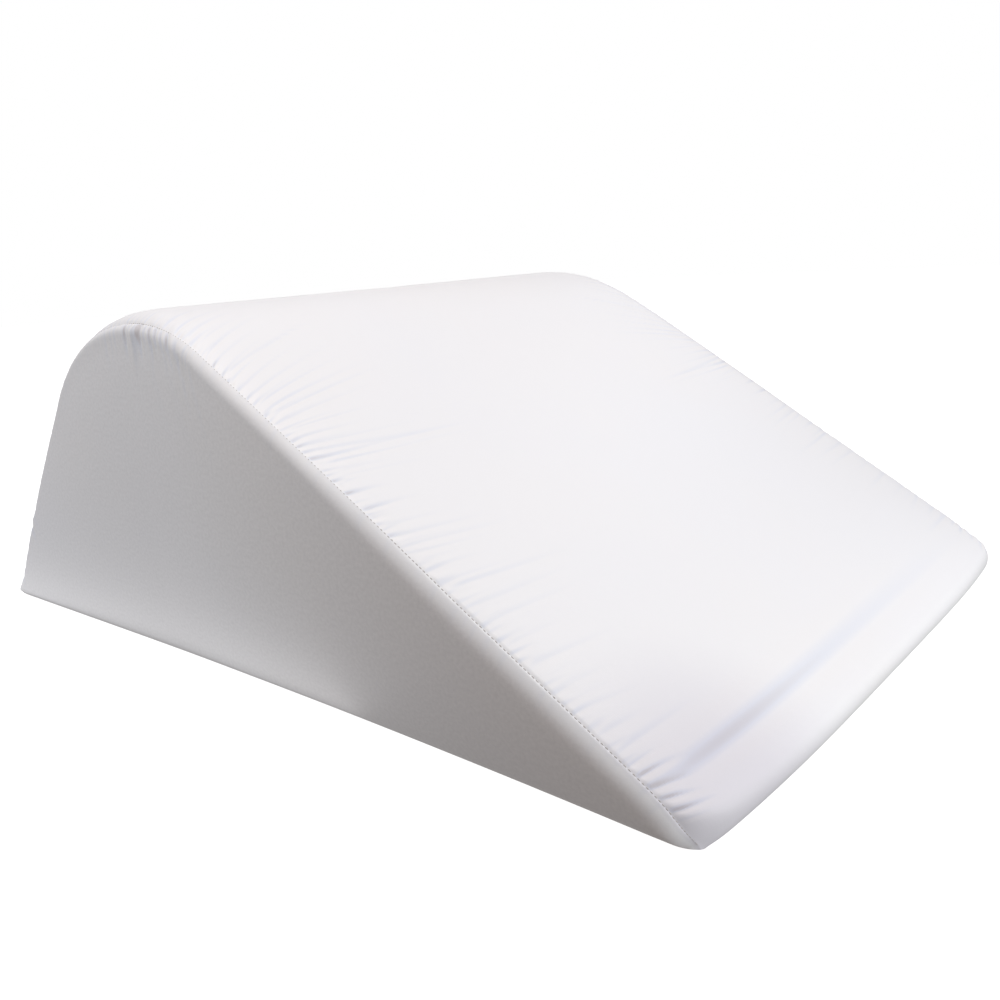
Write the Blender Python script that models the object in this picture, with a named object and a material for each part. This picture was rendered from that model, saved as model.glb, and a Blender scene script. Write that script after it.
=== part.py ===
"""Orthopedic wedge cushion: one filled solid, 700 mm long, 500 mm wide and 250 mm high.

A tall rounded end falls along a straight slope to a low rounded toe. The cover's top band runs over
the back, the crown and the slope, and a flat side panel is sewn to it on each side. The band swells
above the seam, each side panel rolls over below it, and the seam gathers both into small folds.
Sizes are in metres. X runs from the back (-) to the toe (+), Y across, and Z up from the floor.
"""

import math

import bmesh
import bpy
import numpy as np

NAME = "wedge_cushion"

# The side outline
LENGTH = 0.700
WIDTH = 0.500
HEIGHT = 0.250
CROWN_RADIUS = 0.159
CROWN_FROM_BACK = 0.2655
TOE_RADIUS = 0.0105
BACK_CORNER_RADIUS = 0.004
BACK_BOW = 0.0035
SLOPE_SAG = 0.0005

# The seam between the top band and each side panel
SEAM_INSET = 0.0045
SEAM_DROP = 0.0074
SEAM_DROP_FADE = 0.045
BAND_SWELL_WIDTH = 0.008
SIDE_ROLL_DEPTH = 0.014

# The hem line along the floor, and the plan
HEM_HEIGHT = 0.0012
HEM_ROLL_HEIGHT = 0.009
SIDE_DRAW_IN = 0.0064
SIDE_DRAW_IN_HEIGHT = 0.050
SIDE_DRAW_IN_SKEW = 1.15
SIDE_SWELL = 0.0015
SIDE_PLANE = WIDTH / 2 - SIDE_SWELL
BACK_PLAN_RADIUS = 0.014
TOE_PLAN_RADIUS = 0.017
TOE_BOW = 0.0085

# Steps along the outline: name, steps
OUTLINE_STEPS = (
    ("back corner", 3),
    ("back", 12),
    ("crown behind the top", 13),
    ("crown before the top", 14),
    ("upper slope", 28),
    ("lower slope", 26),
    ("toe", 5),
)
UPPER_SLOPE_LENGTH = 0.170

# Distances in from the side plane to the rows of the band, the seam first
BAND_ROWS = (SEAM_INSET, 0.008, 0.012, 0.019, 0.029, 0.043, 0.062, 0.088, 0.120, 0.160, 0.204)
# Shares of the height from the hem to the seam at the rows of a side panel
SIDE_ROWS = (0.0, 0.04, 0.18, 0.40, 0.62, 0.79, 0.89, 0.95, 0.985, 1.0)

# Folds of the band along each slope seam, in millimetres: where each leaves the seam, measured
# from the crown's top down the slope, its length, how far it leans downhill, its depth and half width
BAND_FOLDS = (
    # from_top, length, lean, depth, half_width
    (66, 46, -22, 1.2, 5.5),
    (92, 56, -30, 1.5, 6.0),
    (117, 84, -32, 1.8, 6.5),
    (138, 48, -20, 1.2, 5.0),
    (156, 80, -22, 1.9, 6.5),
    (176, 52, -12, 1.3, 5.5),
    (199, 104, 10, 1.8, 7.0),
    (226, 50, 4, 1.1, 6.0),
    (253, 72, 8, 1.4, 7.0),
    (284, 44, 6, 1.1, 6.0),
    (312, 78, 10, 1.5, 7.5),
    (344, 46, 6, 1.0, 6.5),
    (378, 70, 8, 1.3, 8.0),
    (414, 44, 6, 1.0, 6.5),
    (447, 52, 4, 1.7, 6.5),
    (467, 190, 11, 2.4, 9.0),
    (484, 34, 8, 1.4, 5.5),
)
# Gathers at the top of each side panel, in millimetres: where each leaves the seam, measured from
# the crown's top towards the toe, its length, how far it leans to the toe, its depth and half width
SIDE_GATHERS = (
    # from_top, length, lean, depth, half_width
    (-2, 20, 3, 1.2, 4.5),
    (16, 30, 5, 2.2, 5.5),
    (33, 22, 6, 1.6, 4.5),
    (48, 26, 9, 1.4, 5.0),
)
# How far in from the seam a fold is deepest, as a share of its length
FOLD_PEAK_SHARE = 0.22
# The far side's folds are the near side's, moved this far down the slope
FAR_SIDE_SHIFT = 0.009

CLOTH_COLOUR = (0.86, 0.86, 0.88, 1.0)
CLOTH_ROUGHNESS = 0.55
MERGE_DISTANCE = 1e-5
FLAT_ANGLE = math.radians(0.01)


def arc(centre, radius, start, end, steps):
    """Points and outward normals along a circle's arc, without its last point."""
    angle = np.linspace(start, end, steps, endpoint=False)
    normal = np.stack([np.cos(angle), np.sin(angle)], axis=1)
    return centre + radius * normal, normal


def line(start, end, angle, steps):
    """Points along a line, without its last point, and its outward normal at the given angle."""
    share = np.linspace(0.0, 1.0, steps, endpoint=False)[:, None]
    normal = np.tile([math.cos(angle), math.sin(angle)], (steps, 1))
    return start + (end - start) * share, normal


def tangent_angle(first_centre, first_radius, second_centre, second_radius):
    """The normal's angle of the line that touches two circles from outside, above them."""
    offset = second_centre - first_centre
    lean = math.acos((first_radius - second_radius) / math.hypot(*offset))
    return math.atan2(offset[1], offset[0]) + lean


def on_circle(centre, radius, angle):
    """The point of a circle at an angle."""
    return centre + radius * np.array([math.cos(angle), math.sin(angle)])


def bulge(points, start, end):
    """A half wave that rises from nothing at the start of a straight run to 1 at its middle, and falls
    to nothing at its end. It is nothing past both ends."""
    run = end - start
    share = np.clip((points - start) @ run / (run @ run), 0.0, 1.0)
    return np.sin(math.pi * share)


def outline():
    """The band's outline in the side view, from the back's foot over the crown to the toe's underside:
    points, outward normals, and the distance of each point along it from the crown's top."""
    steps = dict(OUTLINE_STEPS)
    corner = np.array([BACK_CORNER_RADIUS, BACK_CORNER_RADIUS])
    crown = np.array([CROWN_FROM_BACK, HEIGHT - CROWN_RADIUS])
    toe = np.array([LENGTH - TOE_RADIUS, TOE_RADIUS])
    back_angle = tangent_angle(corner, BACK_CORNER_RADIUS, crown, CROWN_RADIUS)
    slope_angle = tangent_angle(crown, CROWN_RADIUS, toe, TOE_RADIUS)
    top_angle = math.pi / 2

    back_start = on_circle(corner, BACK_CORNER_RADIUS, back_angle)
    back_end = on_circle(crown, CROWN_RADIUS, back_angle)
    slope_start = on_circle(crown, CROWN_RADIUS, slope_angle)
    slope_end = on_circle(toe, TOE_RADIUS, slope_angle)
    downhill = (slope_end - slope_start) / math.hypot(*(slope_end - slope_start))
    slope_middle = slope_start + downhill * UPPER_SLOPE_LENGTH

    runs = [
        arc(corner, BACK_CORNER_RADIUS, 1.5 * math.pi, back_angle, steps["back corner"]),
        line(back_start, back_end, back_angle, steps["back"]),
        arc(crown, CROWN_RADIUS, back_angle, top_angle, steps["crown behind the top"]),
        arc(crown, CROWN_RADIUS, top_angle, slope_angle, steps["crown before the top"]),
        line(slope_start, slope_middle, slope_angle, steps["upper slope"]),
        line(slope_middle, slope_end, slope_angle, steps["lower slope"]),
        arc(toe, TOE_RADIUS, slope_angle, -top_angle, steps["toe"]),
    ]
    points = np.vstack([run[0] for run in runs] + [on_circle(toe, TOE_RADIUS, -top_angle)])
    normals = np.vstack([run[1] for run in runs] + [[0.0, -1.0]])
    points += normals * BACK_BOW * bulge(points, back_start, back_end)[:, None]
    points -= normals * SLOPE_SAG * bulge(points, slope_start, slope_end)[:, None]
    along = np.concatenate([[0.0], np.cumsum(np.hypot(*np.diff(points, axis=0).T))])
    top = sum(count for name, count in OUTLINE_STEPS[:3])
    return points, normals, along - along[top]


def seam_drop(along):
    """How far the seam lies inside the outline: it runs out to nothing at the two ends of the band."""
    from_end = np.minimum(along - along[0], along[-1] - along)
    share = np.clip(from_end / SEAM_DROP_FADE, 0.0, 1.0)
    return SEAM_DROP * np.sin(share * math.pi / 2)


def folds(table, along, inward):
    """Depth of the folds of a table at distances along the seam and in from it. Each is a trough with
    a bell-shaped section, which deepens from the seam, leans as it runs in, and dies away."""
    depth = np.zeros(np.broadcast(along, inward).shape)
    for row in table:
        start, length, lean, deep, half_width = np.array(row) / 1000.0
        share = np.clip(inward / length, 0.0, 1.0)
        middle = start + lean * np.sqrt(share)
        rise = share / FOLD_PEAK_SHARE
        profile = rise * np.exp(1.0 - rise) * (1.0 - share)
        depth += deep * profile * np.exp(-(((along - middle) / half_width) ** 2))
    return depth


def roll(distance, depth, inset):
    """How far a panel's edge is drawn in at a distance from it: a quarter of an ellipse."""
    share = 1.0 - np.clip(distance / depth, 0.0, 1.0)
    return inset * (1.0 - np.sqrt(1.0 - share**2))


def round_corner(distance, radius):
    """How far a round corner of the plan lies inside a square one, at a distance from its end."""
    past = np.clip(radius - distance, 0.0, radius)
    return radius - np.sqrt(radius**2 - past**2)


def half_width(x, z):
    """How far a side panel's plane lies from the middle at a place in the side view: drawn in along
    the floor, and round at the corners of the back and of the toe."""
    low = np.exp(-z / SIDE_DRAW_IN_HEIGHT)
    wave = np.sin(math.pi * np.clip(x / LENGTH, 0.0, 1.0) ** SIDE_DRAW_IN_SKEW)
    corners = round_corner(x, BACK_PLAN_RADIUS) + round_corner(LENGTH - x, TOE_PLAN_RADIUS)
    return SIDE_PLANE - SIDE_DRAW_IN * wave * low - corners


def cushion_points(step_along, step_across, step_up):
    """Where each corner of the gridded cube goes. The cube's top becomes the band, its bottom the base
    and its two sides the side panels; its two ends close to the foot of the back and of the toe."""
    points, normals, along = outline()
    drop = seam_drop(along)
    seam = points - normals * drop[:, None]
    seam[:, 1] = np.maximum(seam[:, 1], HEM_HEIGHT)
    length_share = (along - along[0]) / (along[-1] - along[0])
    crown_share = -along[0] / (along[-1] - along[0])
    hem_x = np.interp(
        length_share,
        [0.0, crown_share, 1.0],
        [BACK_CORNER_RADIUS, CROWN_FROM_BACK, LENGTH - TOE_RADIUS],
    )

    inward_rows = np.array(BAND_ROWS + (SIDE_PLANE,) + BAND_ROWS[::-1])
    side = np.sign(step_across - len(BAND_ROWS))
    inward = inward_rows[step_across]
    past_seam = inward - SEAM_INSET
    along_here = along[step_along]
    fold_along = along_here - np.where(side > 0, FAR_SIDE_SHIFT, 0.0)

    sunk = drop[step_along] * np.exp(-past_seam / BAND_SWELL_WIDTH)
    sunk = sunk + folds(BAND_FOLDS, fold_along, past_seam)
    band = points[step_along] - normals[step_along] * sunk[:, None]

    up_share = np.array(SIDE_ROWS)[step_up]
    hem = np.stack([hem_x[step_along], np.full(len(step_along), HEM_HEIGHT)], axis=1)
    rise = seam[step_along] - hem
    panel = hem + rise * up_share[:, None]
    below_seam = np.linalg.norm(rise, axis=1) * (1.0 - up_share)
    below_outline = np.abs(np.einsum("ij,ij->i", normals[step_along], rise)) * (1.0 - up_share)
    seam_roll = roll(below_outline, SIDE_ROLL_DEPTH, SEAM_INSET)
    hem_roll = roll(panel[:, 1] - HEM_HEIGHT, HEM_ROLL_HEIGHT, SEAM_INSET)
    swell = SIDE_SWELL * np.sin(math.pi * up_share) * np.linalg.norm(rise, axis=1) / HEIGHT
    panel_in = np.maximum(seam_roll, hem_roll) + folds(SIDE_GATHERS, fold_along, below_seam) - swell

    base = np.stack([hem_x[step_along], np.zeros(len(step_along))], axis=1)
    on_side = (step_across == 0) | (step_across == 2 * len(BAND_ROWS))
    on_band = (step_up == len(SIDE_ROWS) - 1) & ~on_side
    place = np.where(on_side[:, None], panel, np.where(on_band[:, None], band, base))
    in_from_side = np.where(on_side, panel_in, inward)

    x, z = place[:, 0], np.maximum(place[:, 1], 0.0)
    y = side * (SIDE_PLANE - in_from_side) * half_width(x, z) / SIDE_PLANE
    toe_share = np.clip((x / LENGTH - 0.5) / 0.5, 0.0, 1.0)
    x = x - TOE_BOW * (y / SIDE_PLANE) ** 4 * toe_share**2
    x = x - (x.min() + x.max()) / 2
    return np.stack([x, y, z], axis=1)


def gridded_cube(steps):
    """A unit cube whose faces are cut into a grid, with the given steps along X, Y and Z."""
    grid = bmesh.new()
    bmesh.ops.create_cube(grid, size=1.0)
    for axis, count in enumerate(steps):
        edges = [e for e in grid.edges if abs((e.verts[0].co - e.verts[1].co)[axis]) > MERGE_DISTANCE]
        bmesh.ops.subdivide_edges(grid, edges=edges, cuts=count - 1, use_grid_fill=True)
    return grid


def cushion_mesh():
    """The gridded cube, with each corner moved to its place on the cushion."""
    steps = (sum(count for name, count in OUTLINE_STEPS), 2 * len(BAND_ROWS), len(SIDE_ROWS) - 1)
    grid = gridded_cube(steps)
    corners = np.array([vertex.co for vertex in grid.verts])
    counted = np.rint((corners + 0.5) * np.array(steps)).astype(int)
    for vertex, place in zip(grid.verts, cushion_points(*counted.T)):
        vertex.co = place
    bmesh.ops.remove_doubles(grid, verts=grid.verts, dist=MERGE_DISTANCE)
    bmesh.ops.recalc_face_normals(grid, faces=grid.faces)
    flat = [vertex for vertex in grid.verts if vertex.co.z < MERGE_DISTANCE]
    edges = [edge for edge in grid.edges if all(vertex.co.z < MERGE_DISTANCE for vertex in edge.verts)]
    bmesh.ops.dissolve_limit(grid, angle_limit=FLAT_ANGLE, verts=flat, edges=edges)
    mesh = bpy.data.meshes.new(NAME)
    grid.to_mesh(mesh)
    grid.free()
    return mesh


def cloth_material():
    """White satin-weave cloth."""
    material = bpy.data.materials.new("white_cloth")
    material.use_nodes = True
    shader = material.node_tree.nodes["Principled BSDF"]
    shader.inputs["Base Color"].default_value = CLOTH_COLOUR
    shader.inputs["Roughness"].default_value = CLOTH_ROUGHNESS
    shader.inputs["Metallic"].default_value = 0.0
    return material


def main():
    """Clear the scene and build the cushion."""
    for old in list(bpy.data.objects):
        bpy.data.objects.remove(old)
    parts = bpy.data.collections.new("orthopedic_wedge_cushion")
    bpy.context.scene.collection.children.link(parts)
    mesh = cushion_mesh()
    mesh.shade_smooth()
    cushion = bpy.data.objects.new(NAME, mesh)
    cushion.data.materials.append(cloth_material())
    parts.objects.link(cushion)


main()
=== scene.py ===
"""The looks of a white wedge cushion for a bed: its sewn cover, the stitches of its seams, and a studio.

The cover is one closed mesh of four panels worked out with numpy: a top band that runs up the back,
over the crown and down the slope, two side panels and a base. A short cloth simulation of a coarse copy
says how the panels swell between their seams, and the gathers along the seams are worked out in code.
Sizes are in metres. X runs from the back (-) to the toe (+), Y across, and Z up from the floor. The
side of -Y is called near, and that of +Y far.
"""

import math

import bmesh
import bpy
import numpy as np
from mathutils import Matrix, Vector


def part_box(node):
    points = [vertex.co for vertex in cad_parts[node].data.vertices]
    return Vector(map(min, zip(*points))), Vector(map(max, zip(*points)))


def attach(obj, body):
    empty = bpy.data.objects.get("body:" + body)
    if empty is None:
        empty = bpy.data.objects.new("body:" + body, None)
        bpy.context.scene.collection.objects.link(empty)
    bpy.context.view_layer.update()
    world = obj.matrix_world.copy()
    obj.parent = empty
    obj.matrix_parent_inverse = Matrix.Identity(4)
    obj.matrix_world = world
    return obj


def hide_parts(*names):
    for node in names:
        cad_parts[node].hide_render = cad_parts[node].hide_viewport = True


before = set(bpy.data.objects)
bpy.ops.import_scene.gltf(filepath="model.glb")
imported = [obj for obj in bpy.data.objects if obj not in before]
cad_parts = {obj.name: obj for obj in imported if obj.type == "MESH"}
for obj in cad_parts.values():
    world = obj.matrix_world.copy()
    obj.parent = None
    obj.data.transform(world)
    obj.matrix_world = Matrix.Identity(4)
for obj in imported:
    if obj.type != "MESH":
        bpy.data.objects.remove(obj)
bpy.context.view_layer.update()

bl_info = {
    "name": "Wedge cushion",
    "version": (1, 0, 0),
    "blender": (4, 5, 0),
    "location": "View3D > Sidebar > Wedge cushion",
    "description": "Builds a sewn wedge cushion and a plain studio round it",
    "category": "Object",
}

CAD_NODE = "wedge_cushion"
LENGTH, WIDTH, HEIGHT = (high - low for low, high in zip(*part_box(CAD_NODE)))

NEAR, FAR = -1.0, 1.0
# The grids of the cover, in their order
BAND, BASE, NEAR_PANEL, FAR_PANEL = range(4)
MERGE_DISTANCE = 1e-5
# How many points the side view's outline has on each of its runs
CORNER_POINTS, BACK_POINTS, CROWN_POINTS, SLOPE_POINTS, TOE_POINTS = 40, 400, 300, 800, 80

# Columns of the grids, along the band from the back's foot to the toe's underside: where each stretch
# starts and ends, in metres from the crown's top, and how many columns it has
COLUMN_STRETCHES = (
    # start, end, columns
    (-0.3745, -0.362, 10),
    (-0.362, -0.060, 100),
    (-0.060, 0.060, 100),
    (0.060, 0.235, 190),
    (0.235, 0.440, 180),
    (0.440, 0.490, 56),
    (0.490, 0.5185, 26),
)
# Rows of the band, in metres in from the seam, and of a side panel, as shares of the way from the seam
# down to the hem
BAND_ROWS = (
    0.0, 0.0004, 0.0009, 0.0015, 0.0022, 0.0031, 0.0042, 0.0056, 0.0074, 0.0095, 0.012, 0.015, 0.0185,
    0.022, 0.026, 0.030, 0.035, 0.040, 0.046, 0.052, 0.059, 0.067, 0.076, 0.086, 0.097, 0.109, 0.122,
    0.136, 0.152, 0.170, 0.190, 0.212,
)
PANEL_SHARES = (
    0.0, 0.0018, 0.004, 0.007, 0.011, 0.016, 0.023, 0.032, 0.043, 0.057, 0.075, 0.098, 0.126, 0.16,
    0.20, 0.25, 0.31, 0.38, 0.46, 0.55, 0.64, 0.73, 0.81, 0.88, 0.93, 0.965, 0.985, 0.995, 1.0,
)
# Shares along the band, in rows of the distance from the crown's top in millimetres and the share.
# How deep the rolled edge of a side panel is, as a share of the side roll
ROLL_SHARES = (
    (-374, 0.35), (-60, 0.35), (10, 0.45), (60, 0.50), (200, 0.56), (330, 0.90), (440, 1.05), (518, 1.05),
)
# How far the seam lies below the band's crown, as a share of the seam drop: less on the slope
DROP_SHARES = (
    (-374, 1.0), (0, 1.0), (20, 0.95), (40, 0.85), (60, 0.68), (80, 0.5), (100, 0.42), (130, 0.35),
    (518, 0.35),
)
# Over what width the band swells up from the seam, as a share of the swell width
SWELL_SHARES = ((-374, 1.0), (455, 1.0), (490, 0.5), (518, 0.5))
# How deep the pinched line of the seam is, as a share of the groove depth
GROOVE_SHARES = (
    (-374, 1.0), (-120, 1.5), (-60, 2.6), (-15, 2.6), (5, 1.2), (50, 0.15), (250, 0.15), (340, 1.7),
    (518, 1.4),
)
GROOVE_POWER = 1.5
# How far the upper edge of the near side panel stands out beside the slope, in rows of the distance
# from the back and the stand-out, both in millimetres
STAND_OUTS = (
    (265, 0.0), (285, 1.3), (304, 2.2), (322, 3.4), (340, 4.2), (358, 4.7), (384, 5.1), (620, 5.1),
    (652, 5.6), (670, 6.0), (690, 4.0), (700, 0.0),
)
# It grows to its full depth by 1 - exp(-height / this height) from the floor
STAND_OUT_HEIGHT = 0.025
# The sides are drawn in by a half sine wave along the floor, whose peak this power moves to the toe
DRAW_IN_SKEW = 1.15
# The seam leaves the band's outline at this distance from the crown's top and bends down to the floor,
# where the band is filled out under the toe's corners by the reach, over the fill width
TOE_SEAM_START = 0.455
TOE_SEAM_BEND = 0.032
TOE_SEAM_REACH = 0.005
TOE_FILL_WIDTH = 0.030
# Powers of the toe's bow across the width, of a panel's rolled edge, and of the fade of a side panel's
# gathers towards the hem
TOE_BOW_POWER = 4
ROLL_POWER = 2.2
HEM_FADE_POWER = 4
# In metres: the width of the hem's rounding, and the ends of the band where its gathers and groove fade
HEM_ROUNDING = 0.006
END_FADE = 0.012

# Gathers of the band along the near seam, in millimetres: where each leaves the seam, measured from the
# crown's top down the slope, how far it reaches in, its depth and half width, and how far it leans
# downhill over its reach. A negative depth is a ridge.
BAND_GATHERS = (
    # from_top, reach, depth, half_width, lean
    (46, 40, 0.65, 2.2, -20),
    (60, 52, 0.33, 2.1, -28),
    (73, 60, 0.47, 1.9, -34),
    (86, 64, 0.33, 1.9, -38),
    (96, 78, 0.47, 2.1, -46),
    (108, 66, 0.26, 1.8, -40),
    (118, 96, 0.47, 1.9, -44),
    (125, 104, 0.42, 1.9, -56),
    (134, 78, 0.34, 1.6, -40),
    (143, 104, 0.36, 1.8, -44),
    (151, 100, 0.55, 1.6, -36),
    (157, 110, 0.42, 1.8, -30),
    (163, 116, 0.62, 1.8, -28),
    (170, 92, 0.36, 1.6, -18),
    (177, 76, 0.41, 1.6, -4),
    (185, 60, 0.26, 1.6, 0),
    (192, 54, 0.34, 1.8, 3),
    (198, 140, 0.36, 2.1, 14),
    (205, 130, 0.62, 2.1, 4),
    (211, 136, 0.36, 1.9, 6),
    (219, 50, 0.28, 1.8, 4),
    (238, 30, 0.53, 1.7, 3),
    (252, 40, 0.53, 1.9, 4),
    (268, 50, 0.26, 1.9, 6),
    (277, 70, 0.41, 1.9, 9),
    (285, 84, 0.42, 2.1, 12),
    (292, 60, 0.34, 1.8, 8),
    (306, 44, 0.22, 1.9, 6),
    (322, 96, 0.55, 2.4, 9),
    (338, 86, 0.33, 2.2, 4),
    (350, 80, 0.34, 2.2, 4),
    (366, 44, 0.22, 2.1, 3),
    (383, 70, 0.41, 2.4, 6),
    (402, 46, 0.26, 2.1, 3),
    (416, 52, 0.34, 2.2, 8),
    (432, 34, 0.53, 2.2, 3),
    (445, 74, 0.62, 2.7, 0),
    (453, 24, 1.05, 1.7, 1),
    (460, 30, 1.05, 1.9, 4),
    (473, 480, 1.8, 7, 0),
    (468, 26, 1.31, 1.9, 6),
    (475, 30, 1.19, 1.9, 10),
    (484, 24, 0.91, 2, 6),
    (463, 440, -1.6, 9, -9),
)
# Gathers at the top of a side panel, in millimetres, with the same columns: they run down from the
# seam, and lean towards the toe
PANEL_GATHERS = (
    # from_top, reach, depth, half_width, lean
    (-346, 18, 1.2, 2.0, 6),
    (-331, 14, 0.9, 1.6, 4),
    (-312, 16, 0.8, 1.8, 6),
    (-284, 28, 1.4, 2.6, 16),
    (-276, 28, -0.7, 2.6, 16),
    (-262, 14, 0.7, 1.8, 3),
    (-30, 30, 0.5, 2.4, 2),
    (-16, 22, 0.6, 2.2, 2),
    (-3, 26, 1.7, 2.2, 4),
    (4, 14, 0.9, 1.6, 1),
    (10, 36, -1.6, 3.6, -2),
    (17, 26, 2.6, 2.6, 6),
    (25, 16, 1.1, 1.8, 3),
    (30, 24, 1.8, 2.0, 9),
    (38, 18, 1.5, 2.2, 7),
    (44, 22, 0.9, 1.8, 12),
    (52, 28, 1.4, 2.8, 15),
    (63, 50, 0.7, 3.4, 24),
    (76, 70, 0.35, 3.8, 34),
    (26, 96, 0.25, 6.0, 34),
    (46, 110, 0.25, 6.5, 52),
)
# Fine gathers that fill the seam, in millimetres: a stretch of the seam, the pitch of its gathers, how
# far they reach and how deep they are
FINE_BAND_STRETCHES = (
    # start, end, pitch, reach, depth
    (-350, -150, 6, 12, 1.0),
    (-150, -40, 4.8, 14, 2.2),
    (-40, -10, 6, 9, 0.5),
    (-10, 60, 6, 14, 0.56),
    (60, 130, 5, 40, 0.26),
    (60, 230, 5.5, 11, 0.7),
    (130, 225, 4.6, 70, 0.26),
    (225, 280, 5, 18, 0.49),
    (280, 350, 5, 40, 0.26),
    (230, 440, 6, 11, 0.56),
    (350, 440, 6, 28, 0.22),
    (440, 495, 5, 20, 0.40),
)
FINE_PANEL_STRETCHES = (
    # start, end, pitch, reach, depth
    (-340, -120, 6, 14, 0.4),
    (-120, 90, 5, 26, 0.4),
    (90, 480, 9, 14, 0.2),
)
# Lean of the fine gathers of the band over a reach of LEAN_REACH, in rows of the distance from the
# crown's top and the lean, all in millimetres
LEAN_REACH = 80.0
LEAN_POWER = 0.85
BAND_LEANS = (
    (-350, 16), (-150, 6), (0, -18), (70, -40), (125, -46), (160, -26), (178, -4), (205, 8), (285, 12),
    (340, 4), (410, 6), (450, 2), (475, 12), (518, 0),
)
NO_LEANS = ((-400, 0), (600, 0))
# The far seam has the near one's gathers, moved this far down the slope
FAR_SHIFT = 0.009
# Gathers that reach in at least this far, in millimetres, are folds of the near seam alone
LONG_REACH = 200
# A gather reaches most of its depth over this share of its reach, and then dies away by this power
GATHER_RISE = 0.05
GATHER_FADE = 1.3
# The fine gathers vary by these ranges: their place by shares of the pitch, their reach and depth by
# factors, and their half width in pitches
GATHER_SEED = 11
PLACE_RANGE = (-0.33, 0.33)
REACH_RANGE = (0.45, 1.5)
DEPTH_RANGE = (0.3, 1.3)
HALF_WIDTH_RANGE = (0.24, 0.40)

# A stitch has rings of points at these shares of its length. In metres, it is lifted out of the seam in
# its middle, dips at its ends, and is sunk where the groove is shallow
STITCH_RINGS = (0.0, 0.16, 0.5, 0.84, 1.0)
STITCH_SIDES = 6
STITCH_LIFT = 0.0002
STITCH_DIP = 0.0003
STITCH_SINK = 0.0004
STITCH_END_GAP = 0.006

# The scale of the weave's waves on the cloth's UV, and how far patches of noise shift the tint
WEAVE_SCALE = 260.0
PATCH_SHARE = 0.5
# The slope of the fold walls at which the painted light and shade on them is full, and the middle of the
# painted shade at the near corner
FOLD_STEEP = 0.36
SHADE_CENTRE = (0.345, -0.215, 0.01)
# Where the painted casts of shade start and where they are full, in metres: by the distance from the middle
# of the shade, by the distance below the seam off the side panel and on it, and along the side panel towards
# the toe
CORNER_SHADE = (0.12, 0.02)
OFF_SIDE = (0.003, 0.0005)
ON_SIDE = (0.001, 0.013)
TO_TOE = (-0.05, 0.36)
# The darkest share of the side panels' grain and of the thread
GRAIN_DARK = 0.925
THREAD_DARK = 0.8

# The cloth simulation runs on a coarse copy of the cover, which leaves a gap at both ends of the band.
# Its step along the band and its rows in from the seam are in metres, and its rows down a side panel are
# shares. Its moves are scaled down to the largest move, and a result past the wild one stops the script
CLOTH_STEP = 0.008
CLOTH_ROWS = (
    0.0, 0.006, 0.013, 0.021, 0.030, 0.040, 0.052, 0.066, 0.082, 0.100, 0.122, 0.146, 0.174, 0.208,
)
CLOTH_SHARES = (0.0, 0.05, 0.11, 0.18, 0.26, 0.35, 0.45, 0.56, 0.67, 0.78, 0.88, 0.95, 1.0)
CLOTH_END_GAP = 0.03
CLOTH_FRAMES = 20
CLOTH_PRESSURE = 4.0
CLOTH_LARGEST_MOVE = 0.0015
CLOTH_WILD_MOVE = 0.2

# The studio: softboxes with their place, what they point at, their size, power and colour
LIGHTS = (
    # name, place, aim, width, height, power, colour
    ("near_softbox", (0.0, -0.49, 1.93), (0.0, 0.0, 0.1), 0.8, 0.8, 12.8, (1.0, 0.945, 0.96)),
    ("back_softbox", (-0.49, 0.0, 1.93), (0.0, 0.0, 0.1), 0.8, 0.8, 7.8, (1.0, 0.99, 1.0)),
    ("toe_softbox", (1.83, 0.0, 0.59), (0.0, 0.0, 0.1), 0.8, 0.8, 8.3, (0.89, 0.93, 1.0)),
    ("far_softbox", (0.0, 1.56, 1.19), (0.0, 0.0, 0.1), 0.8, 0.8, 3.9, (0.88, 0.91, 1.0)),
    ("side_softbox", (-0.55, -0.70, 0.30), (-0.24, -0.25, 0.14), 0.3, 0.2, 0.60, (0.82, 0.88, 1.0)),
    ("side_reflector", (-0.17, -0.275, 0.003), (-0.17, -0.275, 1.0), 0.56, 0.05, 0.046, (1.0, 0.99, 1.0)),
    ("toe_strip", (0.6, 0.0, 0.05), (0.34, -0.1, 0.0), 0.6, 0.1, 0.205, (1.0, 0.99, 0.97)),
    ("toe_reflector", (0.62, 0.0, 0.003), (0.62, 0.0, 1.0), 0.5, 0.5, 0.53, (1.0, 0.985, 0.955)),
)
WORLD_LIGHT = 0.39
WORLD_COLOUR = (1.0, 0.965, 0.96, 1.0)
FLOOR_SIZE = 12.0
FLOOR_GAP = 0.0003
FLOOR_GLOW = 0.85
FLOOR_NEAR, FLOOR_FAR = 0.5, 1.2

# The camera, fitted to the outline and the near seam of the cushion in the photograph
CAMERA_PLACE = (0.52885, -0.58416, 0.27250)
CAMERA_AZIMUTH = 40.9225
CAMERA_ELEVATION = 14.4195
CAMERA_ROLL = -3.7253
FOCAL_PIXELS = 962.16
IMAGE_PIXELS = 1000.0
SENSOR_WIDTH = 36.0


def length_property(name, description, default):
    """A length that a user may change."""
    return bpy.props.FloatProperty(
        name=name, description=description, default=default, min=0.0, precision=4,
        unit="LENGTH", subtype="DISTANCE",
    )


def colour_property(name, description, default):
    """A colour that a user may change."""
    return bpy.props.FloatVectorProperty(
        name=name, description=description, default=default, min=0.0, max=1.0, size=4, subtype="COLOR",
    )


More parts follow.
